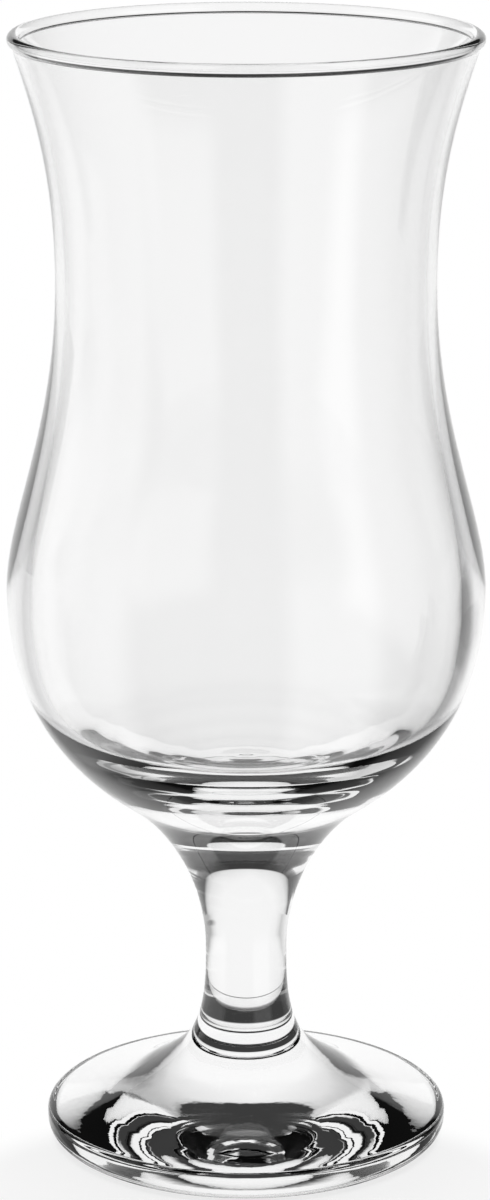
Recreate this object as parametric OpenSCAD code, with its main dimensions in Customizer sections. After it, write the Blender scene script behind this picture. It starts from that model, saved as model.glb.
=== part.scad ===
// Stemmed, tulip-waisted drinking glass of clear soda-lime glass.
// A blown bowl, a solid drawn stem and a pressed foot, joined hot at two flat weld faces.
// Millimetres, +Z up, origin at the centre of the ring the foot stands on.
// Every curve is a cubic whose ends keep a stated lean, so neighbouring pieces meet smoothly.

/* [Lip] */
// Outer diameter of the rim
rim_d = 81.8; // [72:0.2:92]
// Thickness of the fire-polished bead that runs round the rim
bead_d = 2.2; // [1.9:0.1:3]
// Thickness of the wall just below the bead
rim_wall = 1.3; // [1:0.1:1.7]
// Radius of the two fillets between bead and wall
bead_fillet = 0.5; // [0.1:0.1:1]
// Lean of the wall at the rim, in degrees from upright
rim_flare = 18.5; // [6:0.5:26]
// Height of the rim above the waist
lip_rise = 42.5; // [30:0.5:60]

/* [Waist] */
// Outer diameter of the waist
waist_d = 66.2; // [58:0.2:74]
// Thickness of the wall at the waist
waist_wall = 1.8; // [1.2:0.1:3]
// Height of the waist above the belly
waist_rise = 55.7; // [40:0.1:75]

/* [Belly] */
// Outer diameter of the belly
belly_d = 84.6; // [76:0.2:96]
// Thickness of the wall at the belly
belly_wall = 3.9; // [2.4:0.1:4.8]
// Height of the belly above the root
belly_rise = 38.8; // [32:0.1:50]

/* [Root and floor] */
// Outer diameter of the root, where the underside turns into the stub of the bowl
root_d = 43.2; // [34:0.2:52]
// Lean of the underside at the root, in degrees from upright
root_lean = 56; // [45:1:62]
// Height of the root above the weld to the stem
root_rise = 21; // [16:0.1:28]
// Height of the bowl's floor above the weld to the stem
floor_rise = 27.5; // [25:0.1:34]
// Inner diameter of the heel, where the wall turns into the shallow floor
heel_d = 55.4; // [48:0.2:60]
// Height of the heel above the middle of the floor
heel_rise = 6.3; // [4:0.1:9]
// Lean of the inside at the heel, in degrees from upright
heel_lean = 72; // [60:1:80]

/* [Stem] */
// Diameter of the weld between bowl and stem
bowl_weld_d = 16.2; // [14:0.1:20]
// Lean of the stem at the weld to the bowl, in degrees from upright
bowl_weld_lean = 11.5; // [4:0.5:20]
// Diameter of the stem at its neck
neck_d = 14.6; // [10:0.1:18]
// Height of the weld to the bowl above the neck
neck_drop = 9.2; // [5:0.1:20]
// Height of the neck above the weld to the foot
neck_rise = 17.2; // [12:0.1:30]

/* [Foot] */
// Diameter of the weld between stem and foot
foot_weld_d = 24.4; // [20:0.2:30]
// Lean of the stem at the weld to the foot, in degrees from upright
foot_weld_lean = 50; // [30:1:58]
// Height of the weld to the foot above the table
foot_rise = 15.6; // [13:0.1:22]
// Outer diameter of the foot
foot_d = 72.4; // [64:0.2:84]
// Thickness of the foot at its edge
foot_edge = 5.2; // [5:0.1:7]
// Radius of the rounding above the edge of the foot
top_round = 1.5; // [0.8:0.1:1.8]
// Radius of the rounding below the edge of the foot
low_round = 2.6; // [1:0.1:3]
// Slope of the top of the foot beside its edge, in degrees from level
foot_slope = 8.5; // [2:0.5:12]
// Width of the flat ring that the glass stands on, around the hollow
ring_w = 9.5; // [3:0.5:14]
// Depth of the shallow hollow at its centre
hollow_h = 0.9; // [0.5:0.1:4]

/* [Hidden] */

// Pull of each curve: the share of its height or width over which an end keeps its own lean
lip_pull = [0.31, 0.42];
waist_pull = [0.48, 0.24];
belly_pull = [0.56, 0.29];
root_pull = [0.33, 0.45];
stem_pull = [0.44, 0.42];
flare_pull = [0.43, 0.3];
foot_pull = [0.28, 0.38];
heel_pull = [0.35, 0.35];
floor_pull = [0.51, 0.43];
hollow_pull = [0.67, 0.16];

// Smoothness of the curves and of the turning
curve_steps = 16;
arc_steps = 8;
bead_steps = 20;
fillet_steps = 5;
turn_steps = 180;

// Heights above the table
neck_z = foot_rise + neck_rise;
bowl_weld_z = neck_z + neck_drop;
floor_z = bowl_weld_z + floor_rise;
root_z = bowl_weld_z + root_rise;
belly_z = root_z + belly_rise;
waist_z = belly_z + waist_rise;
rim_z = waist_z + lip_rise;

// Bead of the rim, and the turn from the wall's run to the fillets beside it
bead_r = bead_d / 2;
bead_centre = [rim_d / 2 - bead_r, rim_z - bead_r];
bead_reach = bead_r + bead_fillet;
bead_turn = asin((rim_wall / 2 + bead_fillet) / bead_reach);

// Top of the wall below the bead, with its two faces and the centres of the fillets
across = [cos(rim_flare), -sin(rim_flare)];
wall_top = bead_centre + down(bead_reach * cos(bead_turn), -rim_flare);
rim_outside = wall_top + rim_wall / 2 * across;
rim_inside = wall_top - rim_wall / 2 * across;
fillet_outside = rim_outside + bead_fillet * across;
fillet_inside = rim_inside - bead_fillet * across;

// Ends of the outer curves, from the waist to the foot
waist_out = [waist_d / 2, waist_z];
belly_out = [belly_d / 2, belly_z];
root_out = [root_d / 2, root_z];
bowl_weld = [bowl_weld_d / 2, bowl_weld_z];
neck = [neck_d / 2, neck_z];
foot_weld = [foot_weld_d / 2, foot_rise];

// Ends of the inner curves
waist_in = waist_out - [waist_wall, 0];
belly_in = belly_out - [belly_wall, 0];
heel_in = [heel_d / 2, floor_z + heel_rise];
floor_in = [0, floor_z];

// Centres of the two roundings at the edge of the foot, the end of its top, and its hollow
top_centre = [foot_d / 2 - top_round, foot_edge - top_round];
low_centre = [foot_d / 2 - low_round, low_round];
edge_top = top_centre + top_round * [sin(foot_slope), cos(foot_slope)];
foot_span = norm(edge_top - foot_weld);
hollow_r = low_centre[0] - ring_w;

// Step of a given length, going down and leaning outwards by an angle from upright
function down(length, lean = 0) = length * [sin(lean), -cos(lean)];

// Points of a cubic from a to d, without a itself
function curve(a, b, c, d) =
    [for (i = [1 : curve_steps])
        let (t = i / curve_steps, u = 1 - t)
        u * u * u * a + 3 * u * u * t * b + 3 * u * t * t * c + t * t * t * d];

// Points of an arc, with both its ends
function arc(centre, radius, from, to, steps = arc_steps) =
    [for (i = [0 : steps])
        let (a = from + (to - from) * i / steps)
        centre + radius * [cos(a), sin(a)]];

// Points of a list after its first
function after(list) = [for (i = [1 : len(list) - 1]) list[i]];

// Curve between two points a height apart, with the lean and pull of each end
function flow(a, lean_a, d, lean_d, pull) =
    let (height = a[1] - d[1])
    curve(a, a + down(pull[0] * height, lean_a), d - down(pull[1] * height, lean_d), d);

// Outside of the bowl, from the rim down to the weld
function bowl_outside() = concat(
    flow(rim_outside, -rim_flare, waist_out, 0, lip_pull),
    flow(waist_out, 0, belly_out, 0, waist_pull),
    flow(belly_out, 0, root_out, -root_lean, belly_pull),
    flow(root_out, -root_lean, bowl_weld, -bowl_weld_lean, root_pull));

// Rim, from the outer face of the wall over the bead to the inner face
function bowl_rim() = concat(
    arc(fillet_outside, bead_fillet, 180 - rim_flare, 90 - rim_flare + bead_turn, fillet_steps),
    after(arc(bead_centre, bead_r, bead_turn - 90 - rim_flare, 270 - rim_flare - bead_turn, bead_steps)),
    after(arc(fillet_inside, bead_fillet, 90 - rim_flare - bead_turn, -rim_flare, fillet_steps)));

// Inside of the bowl, from the rim down to the middle of the floor
function bowl_inside() = concat(
    flow(rim_inside, -rim_flare, waist_in, 0, lip_pull),
    flow(waist_in, 0, belly_in, 0, waist_pull),
    flow(belly_in, 0, heel_in, -heel_lean, heel_pull),
    curve(heel_in, heel_in + down(floor_pull[0] * heel_in[0], -heel_lean),
          floor_in + [floor_pull[1] * heel_in[0], 0], floor_in));

// Points of a list in the other order
function backwards(list) = [for (i = [len(list) - 1 : -1 : 0]) list[i]];

module turned(outline) {
    rotate_extrude($fn = turn_steps) polygon(outline);
}

// Blown bowl with its beaded rim and the stub drawn down to the stem
module bowl() {
    color([0.93, 0.94, 0.94, 0.4])
        turned(concat(
            [[0, bowl_weld_z]],
            backwards(bowl_outside()),
            bowl_rim(),
            bowl_inside()));
}

// Solid stem, drawn in at the neck and flared towards the foot
module stem() {
    color([0.88, 0.9, 0.9, 0.4])
        turned(concat(
            [[0, foot_rise], [0, bowl_weld_z], bowl_weld],
            flow(bowl_weld, -bowl_weld_lean, neck, 0, stem_pull),
            flow(neck, 0, foot_weld, foot_weld_lean, flare_pull)));
}

// Pressed foot with a rounded edge, standing on a flat ring around its shallow hollow
module foot() {
    color([0.9, 0.92, 0.92, 0.4])
        turned(concat(
            [[0, foot_rise], foot_weld],
            curve(foot_weld, foot_weld + down(foot_pull[0] * foot_span, foot_weld_lean),
                  edge_top + foot_pull[1] * foot_span * [-cos(foot_slope), sin(foot_slope)], edge_top),
            after(arc(top_centre, top_round, 90 - foot_slope, 0)),
            arc(low_centre, low_round, 0, -90),
            [[hollow_r, 0]],
            curve([hollow_r, 0], [hollow_r * (1 - hollow_pull[0]), hollow_h],
                  [hollow_r * hollow_pull[1], hollow_h], [0, hollow_h])));
}

bowl();
stem();
foot();
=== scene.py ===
"""Looks of a stemmed hurricane glass: bowl, stem and foot of clear soda glass, welded end to end."""
import math

import bpy
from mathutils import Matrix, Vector


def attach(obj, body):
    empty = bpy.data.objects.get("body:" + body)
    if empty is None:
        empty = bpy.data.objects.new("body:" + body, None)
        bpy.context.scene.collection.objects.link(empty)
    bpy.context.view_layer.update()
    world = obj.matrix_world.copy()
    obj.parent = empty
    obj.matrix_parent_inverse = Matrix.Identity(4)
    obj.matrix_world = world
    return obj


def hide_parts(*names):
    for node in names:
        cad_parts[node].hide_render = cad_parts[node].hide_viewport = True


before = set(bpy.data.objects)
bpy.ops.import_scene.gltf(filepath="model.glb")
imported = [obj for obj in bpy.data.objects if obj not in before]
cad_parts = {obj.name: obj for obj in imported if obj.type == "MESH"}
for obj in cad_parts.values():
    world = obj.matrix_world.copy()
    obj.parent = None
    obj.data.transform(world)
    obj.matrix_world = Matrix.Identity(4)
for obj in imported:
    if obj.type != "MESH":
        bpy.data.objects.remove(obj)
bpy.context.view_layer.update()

MM = 0.001

# Sizes of the glass in millimetres and leans in degrees, the same as the solids have
RIM_D, BEAD_D, BEAD_FILLET = 81.8, 2.2, 0.5
RIM_WALL, RIM_FLARE, LIP_RISE = 1.3, 18.5, 42.5
WAIST_D, WAIST_WALL, WAIST_RISE = 66.2, 1.8, 55.7
BELLY_D, BELLY_WALL, BELLY_RISE = 84.6, 3.9, 38.8
ROOT_D, ROOT_LEAN, ROOT_RISE, FLOOR_RISE = 43.2, 56.0, 21.0, 27.5
HEEL_D, HEEL_LEAN, HEEL_RISE = 55.4, 72.0, 6.3
BOWL_WELD_D, BOWL_WELD_LEAN = 16.2, 11.5
NECK_D, NECK_DROP, NECK_RISE = 14.6, 9.2, 17.2
FOOT_WELD_D, FOOT_WELD_LEAN, FOOT_RISE = 24.4, 50.0, 15.6
FOOT_D, FOOT_EDGE, FOOT_SLOPE = 72.4, 5.2, 8.5
TOP_ROUND, LOW_ROUND, RING_W, HOLLOW_H = 1.5, 2.6, 9.5, 0.9

# How far each curve runs straight on at its two ends, as shares of its height or length
LIP_PULL, WAIST_PULL, BELLY_PULL = (0.31, 0.42), (0.48, 0.24), (0.56, 0.29)
ROOT_PULL, HEEL_PULL, FLOOR_PULL = (0.33, 0.45), (0.35, 0.35), (0.51, 0.43)
STEM_PULL, FLARE_PULL, FOOT_PULL = (0.44, 0.42), (0.43, 0.3), (0.28, 0.38)
HOLLOW_PULL = (0.67, 0.16)

# Fineness of the meshes
CURVE_STEPS = 44
FLOOR_STEPS = 96
ARC_STEPS = 12
BEAD_STEPS = 40
FILLET_STEPS = 8
TURNS = 192

# Millimetres within which a point lies on the axis, and a face at a weld
ON_AXIS = 1e-6
AT_WELD = 1e-3

# Heights of the stations, stacked up from the surface that the glass stands on
NECK_Z = FOOT_RISE + NECK_RISE
BOWL_WELD_Z = NECK_Z + NECK_DROP
ROOT_Z = BOWL_WELD_Z + ROOT_RISE
FLOOR_Z = BOWL_WELD_Z + FLOOR_RISE
BELLY_Z = ROOT_Z + BELLY_RISE
WAIST_Z = BELLY_Z + WAIST_RISE
RIM_Z = WAIST_Z + LIP_RISE

# The photograph's camera
FRAME_H = 1200
FOCAL_PX = 4140
SENSOR_H = 24.0
CAMERA_BACK, CAMERA_UP, CAMERA_PITCH = 0.7063, 0.2937, 15.38
CAMERA_SIDE = -0.0002

# Nearest distance that the camera shows
CLIP_NEAR = 0.01

# Optical values of soda glass
GLASS_IOR = 1.52

# Shallow ring marks on the floor of the bowl: pitch and height, and the radii between which they fade
MARK_PITCH, MARK_H = 5.6, 0.06
MARK_FADE_FROM, MARK_FADE_TO = 23.0, 27.5

# Waves of each piece: stretch along X, Y and Z, scale and height
BOWL_WAVES = (((1, 1, 1), 22.0, 0.00002), ((1, 1, 0.12), 110.0, 0.000004))
STEM_WAVES = (((1, 1, 1), 40.0, 0.00001),)
FOOT_WAVES = (((1, 1, 1), 60.0, 0.00004), ((1, 1, 1), 330.0, 0.00001))

# The bright card behind the glass: its place, its half width and its height, in metres,
# and the half width of its bright part by share of the height
CARD_BACK, CARD_SIDE, CARD_HALF, CARD_H = 0.59, -0.03, 1.0, 0.4
CARD_STOPS = (
    (0.05, 0.72), (0.29, 0.64), (0.475, 0.52), (0.675, 0.41), (0.76, 0.38), (0.83, 0.29), (0.87, 0.15),
)
# Level across the card's side edge, and the heights between which it brightens below its top
CARD_EDGE = ((0.3, 0.0), (0.445, 0.06), (0.555, 0.6), (0.69, 0.85), (0.95, 1.0))
CARD_TOP = (0.35, 0.325)

# Painted pool of light on the floor before the card, which only the glass shows: its half width in right
# angles by share of a distance, and its edge
FLOOR_REACH = 0.5
FLOOR_ARCH = ((0.03, 1.17), (0.076, 1.13), (0.1, 0.88), (0.2, 0.6), (0.3, 0.48), (0.98, 0.5))
FLOOR_EDGE = (
    (0.12, 0.0), (0.22, 0.28), (0.36, 0.36), (0.46, 0.42), (0.56, 0.8), (0.63, 0.95), (0.72, 1.0),
)
# Position among the stops of an edge that stands for the edge's own line
EDGE_LINE = 0.5

# Low side lights by the turn from +X, and how they fade above the horizon and near the glass
SIDE_STOPS = (
    (0.3, 0.0), (0.335, 0.5), (0.37, 0.66), (0.42, 0.9), (0.57, 0.9), (0.61, 0.0),
    (0.79, 0.0), (0.82, 0.8), (0.92, 0.8), (0.95, 0.0),
)
SIDE_TOP = (0.3, 0.12)
SIDE_NEAR = (0.05, 0.09)

# Painted dark patch in the floor's glow, which only the glass shows, behind and to the right: its middle, its
# turn, its half lengths and its fade
DARK_PATCH_PLACE, DARK_PATCH_TURN, DARK_PATCH_SPAN = (0.272, 0.224, 0), math.radians(39.5), (0.15, 0.115, 1)
DARK_PATCH_STOPS = ((0.0, 0.22), (0.5, 0.27), (1.0, 1.0))

# Radii of the floor under the foot between which its painted shade, which the glass shows, goes from dark to
# its own level
SHADE_UNDER_FOOT = (0.017, 0.022)

# Level of the dark room, and the share of the studio's light that the floor catches
ROOM_LEVEL = 0.045
SCATTERED_SKY = 0.12

# Floor, with a film of air between it and the ring that the glass stands on
FLOOR_R = 6.0
FLOOR_GAP = 0.00015
FLOOR_SIDES = 96
FLOOR_COLOUR = (0.86, 0.86, 0.86, 1)

# Painted oval of shadow on the floor, inside which the floor's real lit shading shows through its white: its
# middle, one over its half lengths, the rings of its fade, and its depth
SHADOW_PLACE = (0, -0.044, 0)
SHADOW_SPAN = (1 / 0.055, 1 / 0.047, 0)
SHADOW_FROM, SHADOW_TO = 0.92, 1.15
SHADOW_DEPTH = 0.2

# Soft box overhead
LAMP_POWER = 18.0
LAMP_SIZE = (0.9, 0.9)
LAMP_PLACE = (0, 0.1, 1.2)
LAMP_AIM = (0, 0, 0.1)


def down(length, lean=0.0):
    """Step of this length, straight down or leaning out by an angle."""
    return Vector((math.sin(math.radians(lean)), -math.cos(math.radians(lean)))) * length


def curve(a, b, c, d, steps=CURVE_STEPS):
    """Points of a cubic curve after its start."""
    out = []
    for i in range(1, steps + 1):
        t = i / steps
        s = 1 - t
        out.append(a * s**3 + b * (3 * s * s * t) + c * (3 * s * t * t) + d * t**3)
    return out


def flow(a, lean_a, d, lean_d, pull):
    """Curve down from a to d that leaves and arrives at the given leans."""
    height = a.y - d.y
    return curve(a, a + down(pull[0] * height, lean_a), d - down(pull[1] * height, lean_d), d)


def arc(centre, radius, start, end, steps=ARC_STEPS):
    """Points of a round from one angle to another, both ends included."""
    out = []
    for i in range(steps + 1):
        angle = math.radians(start + (end - start) * i / steps)
        out.append(centre + Vector((math.cos(angle), math.sin(angle))) * radius)
    return out


# Stations of the profile as radius and height
BEAD_CENTRE = Vector((RIM_D / 2 - BEAD_D / 2, RIM_Z - BEAD_D / 2))
BEAD_REACH = BEAD_D / 2 + BEAD_FILLET
BEAD_TURN = math.degrees(math.asin((RIM_WALL / 2 + BEAD_FILLET) / BEAD_REACH))
ACROSS = down(1.0, 90 - RIM_FLARE)
WALL_TOP = BEAD_CENTRE + down(BEAD_REACH * math.cos(math.radians(BEAD_TURN)), -RIM_FLARE)
RIM_OUT = WALL_TOP + ACROSS * (RIM_WALL / 2)
RIM_IN = WALL_TOP - ACROSS * (RIM_WALL / 2)
WAIST_OUT = Vector((WAIST_D / 2, WAIST_Z))
WAIST_IN = Vector((WAIST_D / 2 - WAIST_WALL, WAIST_Z))
BELLY_OUT = Vector((BELLY_D / 2, BELLY_Z))
BELLY_IN = Vector((BELLY_D / 2 - BELLY_WALL, BELLY_Z))
ROOT_OUT = Vector((ROOT_D / 2, ROOT_Z))
HEEL_IN = Vector((HEEL_D / 2, FLOOR_Z + HEEL_RISE))
FLOOR_IN = Vector((0, FLOOR_Z))
BOWL_WELD = Vector((BOWL_WELD_D / 2, BOWL_WELD_Z))
NECK = Vector((NECK_D / 2, NECK_Z))
FOOT_WELD = Vector((FOOT_WELD_D / 2, FOOT_RISE))
TOP_CENTRE = Vector((FOOT_D / 2 - TOP_ROUND, FOOT_EDGE - TOP_ROUND))
LOW_CENTRE = Vector((FOOT_D / 2 - LOW_ROUND, LOW_ROUND))


def ring_mark(point):
    """Point of the bowl's floor with the ring marks added to its height."""
    share = (MARK_FADE_TO - point.x) / (MARK_FADE_TO - MARK_FADE_FROM)
    share = min(1.0, max(0.0, share))
    fade = share * share * (3 - 2 * share)
    return point + Vector((0, MARK_H * fade * math.cos(2 * math.pi * point.x / MARK_PITCH)))


def bowl_profile():
    """Outline of the bowl, from the middle of its weld up the outside and down the inside."""
    outside = [RIM_OUT]
    outside += flow(RIM_OUT, -RIM_FLARE, WAIST_OUT, 0, LIP_PULL)
    outside += flow(WAIST_OUT, 0, BELLY_OUT, 0, WAIST_PULL)
    outside += flow(BELLY_OUT, 0, ROOT_OUT, -ROOT_LEAN, BELLY_PULL)
    outside += flow(ROOT_OUT, -ROOT_LEAN, BOWL_WELD, -BOWL_WELD_LEAN, ROOT_PULL)
    out_centre, in_centre = RIM_OUT + ACROSS * BEAD_FILLET, RIM_IN - ACROSS * BEAD_FILLET
    below = -90 - RIM_FLARE
    lip = arc(out_centre, BEAD_FILLET, 180 - RIM_FLARE, below + BEAD_TURN + 180, FILLET_STEPS)[1:]
    lip += arc(BEAD_CENTRE, BEAD_D / 2, below + BEAD_TURN, below + 360 - BEAD_TURN, BEAD_STEPS)[1:]
    lip += arc(in_centre, BEAD_FILLET, below + 180 - BEAD_TURN, -RIM_FLARE, FILLET_STEPS)[1:-1]
    inside = [RIM_IN]
    inside += flow(RIM_IN, -RIM_FLARE, WAIST_IN, 0, LIP_PULL)
    inside += flow(WAIST_IN, 0, BELLY_IN, 0, WAIST_PULL)
    inside += flow(BELLY_IN, 0, HEEL_IN, -HEEL_LEAN, HEEL_PULL)
    leave = HEEL_IN + down(FLOOR_PULL[0] * HEEL_IN.x, -HEEL_LEAN)
    arrive = FLOOR_IN + Vector((FLOOR_PULL[1] * HEEL_IN.x, 0))
    inside += [ring_mark(point) for point in curve(HEEL_IN, leave, arrive, FLOOR_IN, FLOOR_STEPS)]
    return [Vector((0, BOWL_WELD_Z))] + outside[::-1] + lip + inside


def stem_profile():
    """Outline of the stem, from the middle of its lower weld to the middle of its upper one."""
    side = [BOWL_WELD]
    side += flow(BOWL_WELD, -BOWL_WELD_LEAN, NECK, 0, STEM_PULL)
    side += flow(NECK, 0, FOOT_WELD, FOOT_WELD_LEAN, FLARE_PULL)
    return [Vector((0, FOOT_RISE))] + side[::-1] + [Vector((0, BOWL_WELD_Z))]


def foot_profile():
    """Outline of the foot, from the middle of its hollow out to the edge and up to the weld."""
    slope = math.radians(FOOT_SLOPE)
    edge_top = TOP_CENTRE + Vector((math.sin(slope), math.cos(slope))) * TOP_ROUND
    span = (edge_top - FOOT_WELD).length
    leave = FOOT_WELD + down(FOOT_PULL[0] * span, FOOT_WELD_LEAN)
    arrive = edge_top + Vector((-math.cos(slope), math.sin(slope))) * (FOOT_PULL[1] * span)
    top = [FOOT_WELD] + curve(FOOT_WELD, leave, arrive, edge_top)
    edge = arc(TOP_CENTRE, TOP_ROUND, 90 - FOOT_SLOPE, 0)[1:]
    edge += arc(LOW_CENTRE, LOW_ROUND, 0, -90)
    ring = Vector((LOW_CENTRE.x - RING_W, 0))
    roof = Vector((0, HOLLOW_H))
    leave = Vector((ring.x * (1 - HOLLOW_PULL[0]), HOLLOW_H))
    arrive = Vector((ring.x * HOLLOW_PULL[1], HOLLOW_H))
    hollow = [ring] + curve(ring, leave, arrive, roof)
    return hollow[::-1] + edge[::-1] + top[::-1] + [Vector((0, FOOT_RISE))]


def lathe(name, profile, welds, materials):
    """Closed solid of revolution; the flat faces at the heights in welds take the second material."""
    verts = []
    rings = []
    for point in profile:
        if point.x < ON_AXIS:
            rings.append([len(verts)])
            verts.append((0, 0, point.y * MM))
            continue
        rings.append(list(range(len(verts), len(verts) + TURNS)))
        for k in range(TURNS):
            angle = 2 * math.pi * k / TURNS
            verts.append((point.x * math.cos(angle) * MM, point.x * math.sin(angle) * MM, point.y * MM))
    faces = []
    slots = []
    for i in range(len(rings) - 1):
        low, high = rings[i], rings[i + 1]
        middle = (profile[i].y + profile[i + 1].y) / 2
        reaches_axis = len(low) == 1 or len(high) == 1
        at_weld = reaches_axis and any(abs(middle - z) < AT_WELD for z in welds)
        for k in range(TURNS):
            n = (k + 1) % TURNS
            if len(low) == 1:
                face = (low[0], high[n], high[k])
            elif len(high) == 1:
                face = (low[k], low[n], high[0])
            else:
                face = (low[k], low[n], high[n], high[k])
            faces.append(face)
            slots.append(1 if at_weld else 0)
    mesh = bpy.data.meshes.new(name)
    mesh.from_pydata(verts, [], faces)
    for material in materials:
        mesh.materials.append(material)
    for polygon, index in zip(mesh.polygons, slots):
        polygon.material_index = index
        polygon.use_smooth = True
    sharpen_weld_edges(mesh)
    mesh.update()
    piece = bpy.data.objects.new(name, mesh)
    bpy.context.scene.collection.objects.link(piece)
    return piece


def sharpen_weld_edges(mesh):
    """Keeps the shading of the weld faces apart from that of the outside."""
    sides = {}
    for polygon in mesh.polygons:
        for key in polygon.edge_keys:
            sides.setdefault(key, set()).add(polygon.material_index)
    for edge in mesh.edges:
        if len(sides[edge.key]) > 1:
            edge.use_edge_sharp = True


def node_of(tree, kind, **values):
    """New shader node with the given inputs set by name."""
    made = tree.nodes.new(kind)
    for key, value in values.items():
        made.inputs[key.replace("_", " ")].default_value = value
    return made


def new_material(name):
    """Empty material with its node tree."""
    material = bpy.data.materials.new(name)
    material.use_nodes = True
    material.node_tree.nodes.clear()
    return material, material.node_tree


def glass(name, waves):
    """Clear glass with the faint waves of a machine-made piece, each a stretch, a scale and a height."""
    material, tree = new_material(name)
    link = tree.links.new
    out = node_of(tree, "ShaderNodeOutputMaterial")
    shader = node_of(tree, "ShaderNodeBsdfPrincipled", Transmission_Weight=1.0, IOR=GLASS_IOR, Roughness=0.0)
    shader.inputs["Base Color"].default_value = (1, 1, 1, 1)
    place = node_of(tree, "ShaderNodeTexCoord").outputs["Object"]
    normal = None
    for stretch, scale, height in waves:
        spread = node_of(tree, "ShaderNodeMapping", Scale=stretch)
        noise = node_of(tree, "ShaderNodeTexNoise", Scale=scale, Detail=2.0)
        bump = node_of(tree, "ShaderNodeBump", Strength=1.0, Distance=height)
        link(place, spread.inputs["Vector"])
        link(spread.outputs["Vector"], noise.inputs["Vector"])
        link(noise.outputs["Fac"], bump.inputs["Height"])
        if normal:
            link(normal, bump.inputs["Normal"])
        normal = bump.outputs["Normal"]
    link(normal, shader.inputs["Normal"])
    link(shader.outputs["BSDF"], out.inputs["Surface"])
    return material


def fused(name):
    """Weld face inside the glass, where two pieces have melted together and nothing shows."""
    material, tree = new_material(name)
    out = node_of(tree, "ShaderNodeOutputMaterial")
    clear = node_of(tree, "ShaderNodeBsdfTransparent")
    tree.links.new(clear.outputs["BSDF"], out.inputs["Surface"])
    return material


def place_camera():
    """Camera at the photograph's place, with the photograph's angle of view."""
    data = bpy.data.cameras.new("camera")
    data.sensor_fit = "VERTICAL"
    data.sensor_height = SENSOR_H
    data.lens = SENSOR_H * FOCAL_PX / FRAME_H
    data.clip_start = CLIP_NEAR
    camera = bpy.data.objects.new("camera", data)
    camera.location = (CAMERA_SIDE, -CAMERA_BACK, CAMERA_UP)
    camera.rotation_euler = (math.radians(90 - CAMERA_PITCH), 0, 0)
    bpy.context.scene.collection.objects.link(camera)
    bpy.context.scene.camera = camera


def chain(tree, operation, *values):
    """Joins sockets or numbers two by two with one kind of sum."""
    total = values[0]
    for value in values[1:]:
        made = node_of(tree, "ShaderNodeMath")
        made.operation = operation
        for socket, item in zip(made.inputs, (total, value)):
            if isinstance(item, (int, float)):
                socket.default_value = item
            else:
                tree.links.new(item, socket)
        total = made.outputs[0]
    return total


def seen_rays(tree):
    """Values of 1 for rays straight from the camera, and for rays by way of glass."""
    path = node_of(tree, "ShaderNodeLightPath")
    direct = path.outputs["Is Camera Ray"]
    by_glass = chain(tree, "MAXIMUM", path.outputs["Is Glossy Ray"], path.outputs["Is Transmission Ray"])
    scattered = chain(tree, "MINIMUM", path.outputs["Diffuse Depth"], 1)
    return direct, chain(tree, "SUBTRACT", by_glass, chain(tree, "MULTIPLY", by_glass, scattered))


def level_ramp(tree, stops, value):
    """Level that follows the given stops of position and level."""
    ramp = node_of(tree, "ShaderNodeValToRGB")
    elements = ramp.color_ramp.elements
    elements.remove(elements[1])
    for index, (position, level) in enumerate(stops):
        stop = elements[0] if index == 0 else elements.new(position)
        stop.position = position
        stop.color = (level, level, level, 1)
    tree.links.new(value, ramp.inputs["Fac"])
    return ramp.outputs["Color"]


def smooth_step(tree, value, start, end):
    """Level that eases from 0 to 1 between two values."""
    step = node_of(tree, "ShaderNodeMapRange")
    step.interpolation_type = "SMOOTHSTEP"
    step.inputs["From Min"].default_value = start
    step.inputs["From Max"].default_value = end
    tree.links.new(value, step.inputs["Value"])
    return step.outputs["Result"]


def size_of(tree, value):
    """Value without its sign."""
    made = node_of(tree, "ShaderNodeMath")
    made.operation = "ABSOLUTE"
    tree.links.new(value, made.inputs[0])
    return made.outputs[0]


def off_axis(tree, split):
    """Angle from +Y either side, in right angles."""
    turn = chain(tree, "ARCTAN2", split.outputs["X"], split.outputs["Y"])
    return chain(tree, "DIVIDE", size_of(tree, turn), math.pi / 2)


def side_turn(tree, split):
    """Turn from +X, a full turn being 1."""
    turn = chain(tree, "ARCTAN2", split.outputs["Y"], split.outputs["X"])
    return chain(tree, "FLOORED_MODULO", chain(tree, "DIVIDE", turn, 2 * math.pi), 1.0)


def edge_level(tree, edge, half, off):
    """Level across a soft edge, from how far a place lies inside it."""
    inside = chain(tree, "SUBTRACT", half, off)
    return level_ramp(tree, edge, chain(tree, "ADD", inside, EDGE_LINE))


def shadow_fade(tree, position):
    """Level that rises from 0 in the painted oval of shadow to 1 outside it."""
    shift = node_of(tree, "ShaderNodeVectorMath")
    shift.operation = "SUBTRACT"
    shift.inputs[1].default_value = SHADOW_PLACE
    scale = node_of(tree, "ShaderNodeVectorMath")
    scale.operation = "MULTIPLY"
    scale.inputs[1].default_value = SHADOW_SPAN
    away = node_of(tree, "ShaderNodeVectorMath")
    away.operation = "LENGTH"
    tree.links.new(position, shift.inputs[0])
    tree.links.new(shift.outputs["Vector"], scale.inputs[0])
    tree.links.new(scale.outputs["Vector"], away.inputs[0])
    return smooth_step(tree, away.outputs["Value"], SHADOW_FROM, SHADOW_TO)


def painted_dark_patch_level(tree, position):
    """Painted shade of the dark patch in the floor's glow, from dark in its middle to 1 outside it."""
    turn = (0, 0, DARK_PATCH_TURN)
    spot = node_of(tree, "ShaderNodeMapping", Location=DARK_PATCH_PLACE, Rotation=turn, Scale=DARK_PATCH_SPAN)
    spot.vector_type = "TEXTURE"
    away = node_of(tree, "ShaderNodeVectorMath")
    away.operation = "LENGTH"
    tree.links.new(position, spot.inputs["Vector"])
    tree.links.new(spot.outputs["Vector"], away.inputs[0])
    return level_ramp(tree, DARK_PATCH_STOPS, away.outputs["Value"])


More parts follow.
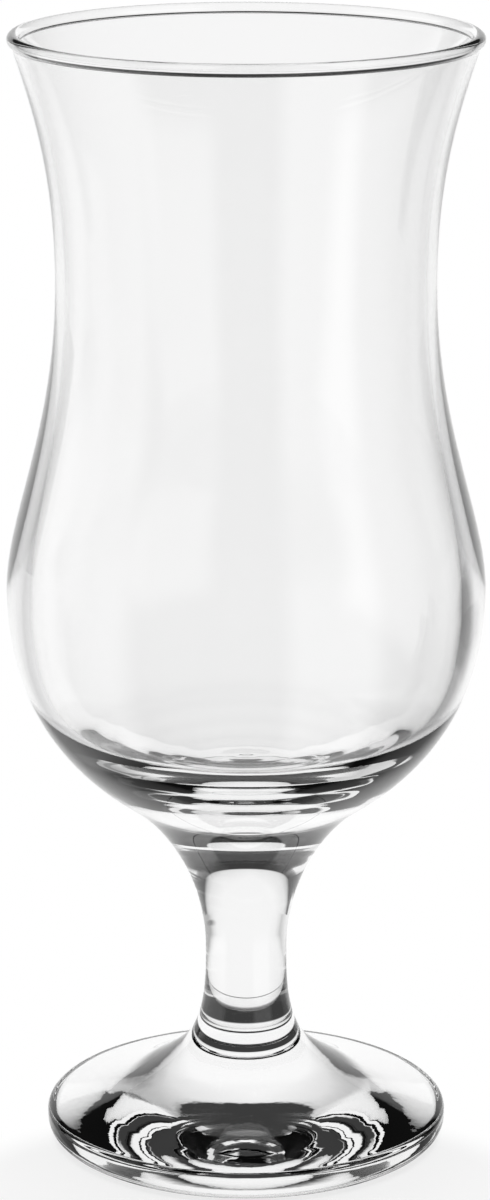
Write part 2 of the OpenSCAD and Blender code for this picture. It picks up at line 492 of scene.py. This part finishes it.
def floor_level(tree, position):
    """Painted light and shade of the floor as the glass shows it: bright behind, dark in front and under the
    foot.
    """
    split = node_of(tree, "ShaderNodeSeparateXYZ")
    tree.links.new(position, split.inputs[0])
    distance = node_of(tree, "ShaderNodeVectorMath")
    distance.operation = "LENGTH"
    tree.links.new(position, distance.inputs[0])
    away = distance.outputs["Value"]
    half = level_ramp(tree, FLOOR_ARCH, chain(tree, "DIVIDE", away, FLOOR_REACH))
    behind = edge_level(tree, FLOOR_EDGE, half, off_axis(tree, split))
    # the side lights painted onto the floor's glow as well
    beside = level_ramp(tree, SIDE_STOPS, side_turn(tree, split))
    beside = chain(tree, "MULTIPLY", beside, smooth_step(tree, away, *SIDE_NEAR))
    # the painted dark patch cuts into the floor's painted light
    level = chain(tree, "MINIMUM", chain(tree, "MAXIMUM", behind, beside), painted_dark_patch_level(tree, position))
    # painted shade on the floor under the foot
    level = chain(tree, "MULTIPLY", level, smooth_step(tree, away, *SHADE_UNDER_FOOT))
    return chain(tree, "MAXIMUM", level, ROOM_LEVEL)


def make_floor():
    """Pale floor that goes to white away from the object and keeps its shadow close by."""
    verts = [(0, 0, -FLOOR_GAP)]
    for k in range(FLOOR_SIDES):
        angle = 2 * math.pi * k / FLOOR_SIDES
        verts.append((FLOOR_R * math.cos(angle), FLOOR_R * math.sin(angle), -FLOOR_GAP))
    faces = [(0, 1 + k, 1 + (k + 1) % FLOOR_SIDES) for k in range(FLOOR_SIDES)]
    mesh = bpy.data.meshes.new("floor")
    mesh.from_pydata(verts, [], faces)
    floor = bpy.data.objects.new("floor", mesh)
    bpy.context.scene.collection.objects.link(floor)
    material, tree = new_material("pale_floor")
    link = tree.links.new
    out = node_of(tree, "ShaderNodeOutputMaterial")
    lit = node_of(tree, "ShaderNodeBsdfDiffuse")
    lit.inputs["Color"].default_value = FLOOR_COLOUR
    white = node_of(tree, "ShaderNodeEmission")
    position = node_of(tree, "ShaderNodeNewGeometry").outputs["Position"]
    direct, by_glass = seen_rays(tree)
    fade = chain(tree, "MULTIPLY", shadow_fade(tree, position), SHADOW_DEPTH)
    direct_share = chain(tree, "MULTIPLY", direct, chain(tree, "ADD", fade, 1 - SHADOW_DEPTH))
    # the floor's painted light and shade, for rays by way of the glass only
    glass_level = chain(tree, "MULTIPLY", by_glass, floor_level(tree, position))
    link(chain(tree, "ADD", direct, glass_level), white.inputs["Strength"])
    mix = node_of(tree, "ShaderNodeMixShader")
    link(chain(tree, "ADD", direct_share, by_glass), mix.inputs["Fac"])
    link(lit.outputs["BSDF"], mix.inputs[1])
    link(white.outputs["Emission"], mix.inputs[2])
    link(mix.outputs["Shader"], out.inputs["Surface"])
    mesh.materials.append(material)


def make_card():
    """Bright card behind the glass, which only the glass shows."""
    corners = ((-CARD_HALF, 0), (CARD_HALF, 0), (CARD_HALF, CARD_H), (-CARD_HALF, CARD_H))
    mesh = bpy.data.meshes.new("backdrop_card")
    mesh.from_pydata([(x, CARD_BACK, z) for x, z in corners], [], [(0, 1, 2, 3)])
    card = bpy.data.objects.new("backdrop_card", mesh)
    bpy.context.scene.collection.objects.link(card)
    card.visible_camera = False
    card.visible_diffuse = False
    card.visible_shadow = False
    material, tree = new_material("bright_card")
    out = node_of(tree, "ShaderNodeOutputMaterial")
    white = node_of(tree, "ShaderNodeEmission")
    split = node_of(tree, "ShaderNodeSeparateXYZ")
    tree.links.new(node_of(tree, "ShaderNodeNewGeometry").outputs["Position"], split.inputs[0])
    half = level_ramp(tree, CARD_STOPS, chain(tree, "DIVIDE", split.outputs["Z"], CARD_H))
    off = size_of(tree, chain(tree, "SUBTRACT", split.outputs["X"], CARD_SIDE))
    level = edge_level(tree, CARD_EDGE, half, off)
    level = chain(tree, "MULTIPLY", level, smooth_step(tree, split.outputs["Z"], *CARD_TOP))
    tree.links.new(chain(tree, "MAXIMUM", level, ROOM_LEVEL), white.inputs["Strength"])
    tree.links.new(white.outputs["Emission"], out.inputs["Surface"])
    mesh.materials.append(material)


def make_world():
    """White behind the object; in the glass low side lights and a dark room."""
    world = bpy.data.worlds.new("studio")
    bpy.context.scene.world = world
    world.use_nodes = True
    tree = world.node_tree
    tree.nodes.clear()
    link = tree.links.new
    out = node_of(tree, "ShaderNodeOutputWorld")
    place = node_of(tree, "ShaderNodeTexCoord")
    split = node_of(tree, "ShaderNodeSeparateXYZ")
    link(place.outputs["Generated"], split.inputs[0])
    beside = level_ramp(tree, SIDE_STOPS, side_turn(tree, split))
    beside = chain(tree, "MULTIPLY", beside, smooth_step(tree, split.outputs["Z"], *SIDE_TOP))
    path = node_of(tree, "ShaderNodeLightPath")
    scattered = chain(tree, "MINIMUM", path.outputs["Diffuse Depth"], 1)
    dimming = chain(tree, "SUBTRACT", 1.0, chain(tree, "MULTIPLY", scattered, 1 - SCATTERED_SKY))
    level = chain(tree, "MULTIPLY", chain(tree, "MAXIMUM", beside, ROOM_LEVEL), dimming)
    studio = node_of(tree, "ShaderNodeBackground")
    link(level, studio.inputs["Strength"])
    white = node_of(tree, "ShaderNodeBackground", Strength=1.0)
    for background in (studio, white):
        background.inputs["Color"].default_value = (1, 1, 1, 1)
    mix = node_of(tree, "ShaderNodeMixShader")
    link(path.outputs["Is Camera Ray"], mix.inputs["Fac"])
    link(studio.outputs["Background"], mix.inputs[1])
    link(white.outputs["Background"], mix.inputs[2])
    link(mix.outputs["Shader"], out.inputs["Surface"])


def add_lamp(name, power, size, place, aim):
    """Soft box at a place, turned to a point."""
    data = bpy.data.lights.new(name, "AREA")
    data.shape = "RECTANGLE"
    data.size, data.size_y = size
    data.energy = power
    lamp = bpy.data.objects.new(name, data)
    lamp.location = place
    lamp.rotation_euler = (Vector(aim) - Vector(place)).to_track_quat("-Z", "Y").to_euler()
    bpy.context.scene.collection.objects.link(lamp)
    return lamp


def main():
    """Stage, camera and lamp, then the three pieces in place of the solids."""
    bpy.context.scene.view_settings.view_transform = "Standard"
    place_camera()
    make_floor()
    make_card()
    make_world()
    overhead = add_lamp("overhead_box", LAMP_POWER, LAMP_SIZE, LAMP_PLACE, LAMP_AIM)
    overhead.visible_transmission = False
    overhead.visible_glossy = False
    weld = fused("fused_weld")
    pieces = (
        ("bowl", bowl_profile(), (BOWL_WELD_Z,), glass("bowl_clear_glass", BOWL_WAVES)),
        ("stem", stem_profile(), (BOWL_WELD_Z, FOOT_RISE), glass("stem_clear_glass", STEM_WAVES)),
        ("foot", foot_profile(), (FOOT_RISE,), glass("foot_clear_glass", FOOT_WAVES)),
    )
    for name, profile, welds, material in pieces:
        piece = lathe("clear_" + name, profile, welds, [material, weld])
        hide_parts(name)
        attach(piece, "root")


main()
